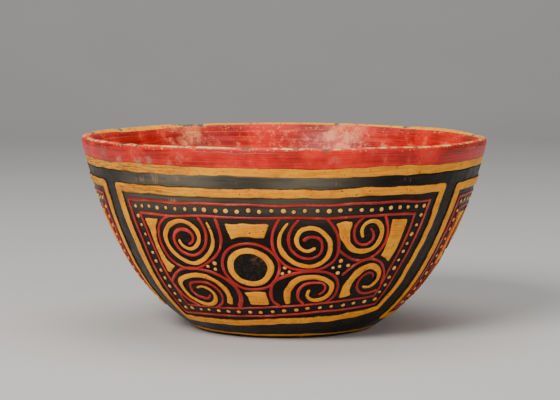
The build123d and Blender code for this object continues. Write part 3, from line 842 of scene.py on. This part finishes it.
def red_paint(name, plain, bright, worn_colour, sheen_share):
    """Polished red, in a plain and a bright tone, with streaks, a painted pink sheen and highlights, rubbed
    places and worn patches.
    """
    p = Paint(name)
    colour, streaks, patches = red_base(p, plain, bright)
    fine = p.noise(700.0, 3.0, 0.6)
    rubbed = p.noise(120.0, 6.0, 0.75)
    # painted highlight: pink patches and a pink sheen along the streaks stand for light on the polish
    colour = p.cover(colour, PINK_SHEEN, rubbed, 0.58, 0.76, sheen_share)
    sheen = p.times(p.between(streaks, 0.50, 0.62), p.between(patches, 0.38, 0.62, 0.15, 0.75))
    colour = p.mix(p.times(sheen, sheen_share), colour, PINK_SHEEN)
    flecks = p.streaks(4.0, 0.7, 0.25, 1.4)
    colour = p.cover(colour, RED_DEEP, flecks, 0.62, 0.72, 0.55)
    mottled = p.times(p.between(rubbed, 0.30, 0.66), p.between(patches, 0.30, 0.62, 0.6, 1.2))
    ragged = p.plus(p.value("wear"), p.times(mottled, 0.9))
    colour = p.cover(colour, worn_colour, ragged, 0.70, 1.60, 0.9)
    # dark outline: partly dirt, partly painted shade where the raised work meets the ground
    edge_shade = p.plus(p.value("edge"), p.times(fine, 0.2))
    colour = p.cover(colour, DARK_FLECK_AND_EDGE_SHADE, edge_shade, 0.96, 1.12, 0.8)
    return p.finish(colour, (patches, 0.3, 0.7, 0.30, 0.46),
                    (streaks, 0.00010, 0.7), (fine, 0.00003, 0.6), specular=0.32)


def black_paint(name):
    """Polished black: rubbed brown, a painted grey sheen of reflected light high on the front, dusty and
    scratched upright.
    """
    p = Paint(name)
    streaks = p.streaks(6.0, 0.7, 0.03, 0.7)
    patches = p.noise(55.0, 6.0, 0.7)
    fine = p.noise(600.0, 4.0, 0.65)
    colour = p.cover(BLACK, BROWN_RUBBED, streaks, 0.50, 0.74, 0.6)
    colour = p.cover(colour, BROWN_RUBBED, patches, 0.54, 0.74, 0.6)
    broad = p.noise(9.0, 3.0, 0.6)
    across, _, height = p.axes()
    # painted sheen: grey where light would reflect in the polish, high on the front and faded at the far left
    painted_sheen = p.times(p.between(height, *SHEEN_HEIGHT), p.between(across, *SHEEN_RIGHT, 1.0, 0.0))
    painted_sheen = p.times(painted_sheen, p.between(across, *SHEEN_LEFT, 0.15, 1.0))
    painted_sheen = p.times(painted_sheen, p.between(broad, 0.34, 0.54, 0.35, 1.0))
    colour = p.mix(p.times(painted_sheen, p.between(streaks, 0.25, 0.55, 0.45, 1.0)), colour, GREY_SHEEN)
    colour = p.cover(colour, GREY_DUST, fine, 0.60, 0.76, 0.35)
    upright = p.streaks(5.0, 0.75, 0.8, 0.07)
    ragged = p.plus(p.value("wear"), p.times(p.between(upright, 0.35, 0.7), 0.6))
    colour = p.cover(colour, GREY_WORN, ragged, 0.62, 1.25, 0.7)
    return p.finish(colour, (patches, 0.3, 0.7, 0.30, 0.50),
                    (patches, 0.00025, 0.6), (fine, 0.00005, 0.7), specular=0.14)


def cream_paint(name):
    """Dots of pale cream with a dark rim round their feet, partly dirt and partly painted shade."""
    p = Paint(name)
    patches = p.noise(160.0, 3.0, 0.6)
    fine = p.noise(1100.0, 3.0, 0.6)
    colour = p.cover(DOT_GOLD, DOT_CREAM, patches, 0.40, 0.62)
    colour = p.cover(colour, OCHRE_DEEP, fine, 0.60, 0.72, 0.6)
    # dark outline: partly dirt, partly painted shade where the dot meets the ground
    edge_shade = p.plus(p.value("edge"), p.times(fine, 0.3))
    colour = p.cover(colour, DARK_FLECK_AND_EDGE_SHADE, edge_shade, 1.0, 1.16)
    return p.finish(colour, (fine, 0.3, 0.7, 0.40, 0.55), (fine, 0.00005, 0.7))


def rough_wood(name):
    """The boss: dark brown wood, pecked and unpolished, with a painted brown highlight on its upper part."""
    p = Paint(name)
    pits = p.noise(420.0, 6.0, 0.75)
    patches = p.noise(90.0, 4.0, 0.6)
    colour = p.cover(BLACK, PITTED_BROWN, pits, 0.42, 0.66)
    above = p.axes()[2]
    # painted highlight: brown mottling only on the boss's upper part, where light falls
    mottled = p.times(p.between(patches, 0.46, 0.62), p.between(above, *BOSS_HIGHLIGHT_HEIGHT, 0.15, 0.9))
    colour = p.mix(p.times(mottled, p.between(pits, 0.4, 0.6)), colour, BOSS_HIGHLIGHT)
    return p.finish(colour, (pits, 0.3, 0.7, 0.55, 0.85), (pits, 0.0004, 0.9), specular=0.15)


def bare_wood(name):
    """The block itself: dark wood below, and a red lip with a rubbed, chipped crest."""
    p = Paint(name)
    grain = p.noise(26.0, 8.0, 0.7, (1.0, 9.0, 4.0))
    fibre = p.noise(300.0, 6.0, 0.7, (0.15, 2.0, 1.0))
    fine = p.noise(700.0, 4.0, 0.6)
    wood = p.cover(WOOD_DARK, WOOD_PALE, grain, 0.35, 0.65)
    wood = p.cover(wood, WOOD_FIBRE, fibre, 0.45, 0.70, 0.6)
    patches = p.noise(75.0, 5.0, 0.7)
    paint = red_base(p, RED, RED_BRIGHT)[0]
    across, along, _ = p.axes()
    behind = p.between(along, *BACK_HALF)
    near = [p.between(p.math("ABSOLUTE", p.math("SUBTRACT", across, middle)), 0.004, reach, 1.0, 0.0)
            for middle, reach in LIP_PALE]
    rubbed = p.times(behind, p.plus(*near))
    rubbed = p.times(rubbed, p.between(p.noise(120.0, 6.0, 0.75), 0.34, 0.62, 0.0, 0.6))
    paint = p.mix(rubbed, paint, PALE_PINK)
    crest = p.mix(p.between(patches, 0.38, 0.60), OCHRE, p.mix(behind, CREAM, OCHRE_PALE))
    breaks = p.math("SUBTRACT", p.noise(170.0, 5.0, 0.7), p.times(behind, 0.10))
    crest = p.cover(crest, RED_BRIGHT, breaks, 0.46, 0.54, 0.95)
    specks = p.between(p.noise(420.0, 3.0, 0.6), 0.60, 0.68, 0.0, 0.9)
    paint = p.mix(specks, paint, OCHRE_PALE)
    chips = p.between(p.noise(240.0, 5.0, 0.65), 0.59, 0.66)
    crest = p.mix(chips, crest, LIP_DIRT)
    zone = p.value("wear")
    ragged = p.plus(zone, p.times(p.math("SUBTRACT", fine, 0.5), 0.8))
    colour = p.cover(wood, paint, zone, 0.2, 0.8)
    colour = p.cover(colour, crest, ragged, 1.4, 1.6)
    crumbled = p.noise(330.0, 5.0, 0.75)
    chipped = p.plus(p.value("edge"), p.times(p.math("SUBTRACT", crumbled, 0.5), 3.2))
    colour = p.cover(colour, LIP_CHIPPED, chipped, 0.46, 0.72)
    return p.finish(colour, (fine, 0.3, 0.7, 0.48, 0.68), (grain, 0.0004, 0.5), (fine, 0.00008, 0.8))


# Each finish: the material, and the record's slot for it
ochre = (ochre_paint("worn_ochre"), "ochre_paint")
red = (red_paint("worn_red", RED, RED_BRIGHT, GREY_WORN, 0.12), "red_paint")
red_lines = (red_paint("worn_crimson", CRIMSON, CRIMSON_BRIGHT, GREY_WORN, 0.25), "red_paint")
red_inside = (red_paint("worn_red_inside", RED, RED_BRIGHT, PALE_PINK, 0.5), "red_paint")
black = (black_paint("worn_black"), "black_paint")
cream = (cream_paint("worn_cream"), "cream_paint")
boss = (rough_wood("pecked_wood"), "rough_dark")
wood = (bare_wood("old_wood"), "bare_wood")


# ---- the bowl's own pieces

def band_edge(level, sag, seed, size):
    """A painted edge round the bowl that rises towards the back and wavers."""
    def at(angle):
        spot = about_axis(BAND_RADIUS, angle, 0 * angle)
        waver = 0.6 * ripple(spot, 60.0, seed) + 0.4 * ripple(spot, 14.0, seed + 1)
        return level + sag * (1 - np.cos(angle)) + size * waver
    return at


# Edges of the painted bands: distance up the wall, rise towards the back, seed and wavering, in mm
foot_low = band_edge(1.2, 0.0, 41, 0.1)
foot_ring_low = band_edge(4.5, 0.0, 42, 0.45)
foot_ring_high = band_edge(7.5, 0.0, 43, 0.45)
ground_high = band_edge(150.8, 0.9, 44, 0.45)
ochre_high = band_edge(157.2, 0.45, 45, 0.4)
red_high = band_edge(168.0, 0.0, 46, 0.5)

coat_band("foot_band_black", foot_low, foot_ring_low, 5, black, free_low=True)
coat_band("foot_ring_ochre", foot_ring_low, foot_ring_high, 6, ochre)
coat_band("black_ground", foot_ring_high, ground_high, 130, black, texture=0.07)
coat_band("rim_band_ochre", ground_high, ochre_high, 12, ochre, texture=0.03)
coat_band("rim_band_red", ochre_high, red_high, 18, red, free_high=True, texture=0.03)


def body_wear(angle, radius, height):
    """0 on bare wood, 1 on the red paint of the lip and 2 on its rubbed crest."""
    red_lip = smooth_step(height, BOWL_HEIGHT - 9, BOWL_HEIGHT - 7)
    drop = CREST_DROP + sum(more * around(angle, middle, width) for middle, width, more in DEEP_CREST)
    return red_lip + smooth_step(height, BOWL_HEIGHT - drop, BOWL_HEIGHT - drop + CREST_FADE)


def body_chips(angle, radius, height):
    """1 in the chips of the lip's crest."""
    chips = sum(around(angle, middle, 0.7 * width) for middle, width, _ in LIP_CHIPS)
    return chips * smooth_step(height, BOWL_HEIGHT - 2.2, BOWL_HEIGHT - 1.0)


def unchipped(angle, radius, height):
    """No chips anywhere."""
    return np.zeros(height.shape)


def coat_wear(angle, radius, height):
    """Rubbed places inside: two on the far wall and a used patch on the floor."""
    far_left = around(angle, 180 + 33, 7) * smooth_step(height, 108, 136)
    far_right = around(angle, 180 - 20, 9) * smooth_step(height, 108, 136)
    middle = around(angle, 180, 40) * smooth_step(height, 95, 130)
    floor = 0.3 * smooth_step(-radius, -60, -10)
    return np.clip(0.58 * far_left + 0.5 * far_right + 0.2 * middle + floor, 0, 1) + 0 * height


# The lip in section, from outside to inside: share of the wall's thickness, and drop from the top, in mm
LIP_SECTION = [(0.0, 2.0), (0.02, 1.3), (0.07, 0.65), (0.15, 0.2), (0.26, 0.0), (0.38, 0.0),
               (0.48, 0.25), (0.58, 0.75), (0.70, 1.45), (0.82, 2.3), (0.92, 3.2)]


def body_section():
    """Section of the whole block: foot, outside, rounded lip, inside and floor."""
    foot = np.linspace(0.5, FOOT_RADIUS - 1, 26)
    hollow_foot = 0.6 * smooth_step(-foot, -56, -40)
    ups = np.linspace(0, WALL_LENGTH - LIP_ROUNDING * 1.3, 90)
    wall_radius, wall_height = wall_point(ups, 0)
    in_radius, in_height = hollow_profile(-0.1)
    below = in_height < BOWL_HEIGHT - LIP_SLANT
    in_radius, in_height = in_radius[below], in_height[below]
    share, drop = np.array(LIP_SECTION).T
    lip_x = wall_radius[-1] + (in_radius[-1] - wall_radius[-1]) * share
    lip_z = BOWL_HEIGHT - drop
    radius = np.concatenate([foot, wall_radius, lip_x, in_radius[::-1]])
    height = np.concatenate([hollow_foot, wall_height, lip_z, in_height[::-1]])
    return radius, height


revolved("bowl_body", *body_section(), body_wear, body_chips, wood, steps=720)


def coat_section():
    """Section of the paint inside, from the middle of its top face round to its back."""
    near_radius, near_height = hollow_profile(COAT)
    back_radius, back_height = hollow_profile(0)
    top = BOWL_HEIGHT - LIP_SLANT - 0.4
    near, back = near_height < top, back_height < top
    radius = np.concatenate([near_radius[near], back_radius[back][::-1]])
    height = np.concatenate([near_height[near], back_height[back][::-1]])
    return radius[::-1], height[::-1]


revolved("interior_coat", *coat_section(), coat_wear, unchipped, red_inside, steps=480)


# ---- the carved panels

def dot_places():
    """Sheet points of the border's dots, evenly spaced along each side of their row."""
    sides = zip(DOT_ROW, DOT_ROW[1:] + DOT_ROW[:1], DOT_STEPS)
    return [tuple(a + (b - a) * (step / steps) for a, b in zip(start, end))
            for start, end, steps in sides for step in range(steps)]


DOT_HEIGHTS = [ROOT, 0.45, 0.70, 0.85, 0.92, 0.95]
BOSS_HEIGHTS = [ROOT] + [0.5 + 0.5 * math.sin(step / 19 * math.pi / 2) for step in range(20)]


FINISHES = {"frame": ochre, "outer_line": red_lines, "red_lines": red_lines, "ochre_scrolls": ochre,
            "ochre_blocks": ochre, "roundel_ring": ochre, "roundel_boss": boss,
            "border_dots": cream, "fill_dots": cream}


def carve(panel, order):
    """All the raised work of one panel."""
    seed = 100 * order
    pieces = {kind: Shape() for kind in FINISHES}
    border(pieces["frame"], *FRAME, FLAT_SECTION, OCHRE_TALL, 4.5, panel, seed + 1)
    border(pieces["outer_line"], *OUTER_LINE, RIDGE_SECTION, BORDER_TALL, 1.6, panel, seed + 5)
    border(pieces["red_lines"], *INNER_LINE, RIDGE_SECTION, BORDER_TALL, 1.6, panel, seed + 9)
    for number, (points, widths) in enumerate(RED_LOOPS + RED_SPIRALS):
        stroke(pieces["red_lines"], points, widths, RIDGE_SECTION, LINE_TALL, panel, seed + 13 + 3 * number)
    ring(pieces["red_lines"], ROUNDEL_CENTRE, ROUNDEL_LINE_RADIUS, ROUNDEL_LINE_WIDTH, RIDGE_SECTION,
         LINE_TALL, panel, seed + 60)
    for number, (points, widths) in enumerate(OCHRE_SCROLLS):
        stroke(pieces["ochre_scrolls"], points, widths, FLAT_SECTION, OCHRE_TALL, panel,
               seed + 63 + 3 * number)
    for number, corners in enumerate(OCHRE_BLOCKS):
        block(pieces["ochre_blocks"], corners, OCHRE_TALL, panel, seed + 83 + number)
    ring(pieces["roundel_ring"], ROUNDEL_CENTRE, ROUNDEL_RING_RADIUS, ROUNDEL_RING_WIDTH, FLAT_SECTION,
         OCHRE_TALL, panel, seed + 90)
    mound(pieces["roundel_boss"], ROUNDEL_CENTRE, ROUNDEL_BOSS_RADIUS, BOSS_HEIGHTS, panel, seed + 92,
          sides=96, roughness=0.10)
    rng = np.random.RandomState(seed + 95)
    for kind, places in (("border_dots", dot_places()), ("fill_dots", FILL_DOTS)):
        for number, spot in enumerate(places):
            shift = rng.uniform(-0.55, 0.55, 2)
            radius = DOT_RADIUS * rng.uniform(0.70, 1.02)
            mound(pieces[kind], (spot[0] + shift[0], spot[1] + shift[1]), radius, DOT_HEIGHTS, panel,
                  seed + 200 + number)
    for kind, shape in pieces.items():
        shape.make(f"{panel}_{kind}", FINISHES[kind])


for order, panel in enumerate(PANELS, start=1):
    carve(panel, order)


# ---- floor, lights and camera

# The lens and its frame in mm, the camera's place in metres and its tilt in degrees
LENS = 135.0
SENSOR_WIDTH = 36.0
CAMERA_PLACE = (-0.003, -1.562, 0.2446)
LOOKING_DOWN = 5.52


def make_floor():
    """A plain pale floor that turns up far behind the bowl."""
    near, far, half, bend, tall = -3.0, 3.2, 4.5, 1.2, 5.0
    line = [(near, 0.0), (far - bend, 0.0)]
    line += [(far - bend + bend * math.sin(t), bend - bend * math.cos(t))
             for t in np.linspace(0, math.pi / 2, 14)[1:]]
    line += [(far, tall)]
    points = [(x, y, z) for y, z in line for x in (-half, half)]
    faces = [(2 * i, 2 * i + 1, 2 * i + 3, 2 * i + 2) for i in range(len(line) - 1)]
    mesh = bpy.data.meshes.new("floor")
    mesh.from_pydata(points, [], faces)
    mesh.shade_smooth()
    p = Paint("floor_paper")
    tone = p.noise(3.0, 3.0, 0.5)
    colour = p.mix(tone, FLOOR_DARK, FLOOR_PALE)
    fine = p.noise(400.0, 3.0, 0.5)
    mesh.materials.append(p.finish(colour, (tone, 0.2, 0.8, 0.75, 0.85), (fine, 0.0001, 0.2)))
    floor = add_object("floor", mesh)


def area_light(name, place_at, target, size, power, colour):
    """A soft rectangular light aimed at a point."""
    data = bpy.data.lights.new(name, "AREA")
    data.shape = "RECTANGLE"
    data.size, data.size_y = size
    data.energy = power
    data.color = colour
    light = add_object(name, data)
    light.location = place_at
    aim = np.array(target, float) - np.array(place_at, float)
    flat = math.hypot(aim[0], aim[1])
    light.rotation_euler = (math.atan2(flat, -aim[2]), 0, math.atan2(aim[1], aim[0]) - math.pi / 2)


make_floor()
area_light("key", (-1.0, -1.5, 1.4), (0, 0, 0.08), (1.0, 0.9), 53, (1.0, 0.97, 0.93))
area_light("fill", (1.6, -1.2, 0.8), (0, 0, 0.08), (1.2, 1.0), 10, (0.97, 0.98, 1.0))
area_light("top", (0.1, 0.2, 1.9), (0, 0, 0.1), (1.4, 1.4), 15, (1.0, 0.98, 0.95))

world = bpy.data.worlds.new("studio")
world.use_nodes = True
sky = world.node_tree.nodes["Background"].inputs
sky["Color"].default_value = (0.9, 0.93, 1.0, 1.0)
sky["Strength"].default_value = 0.21
bpy.context.scene.world = world

camera_data = bpy.data.cameras.new("camera")
camera_data.lens = LENS
camera_data.sensor_width = SENSOR_WIDTH
camera = add_object("camera", camera_data)
camera.location = CAMERA_PLACE
camera.rotation_euler = (math.radians(90 - LOOKING_DOWN), 0, 0)
bpy.context.scene.camera = camera
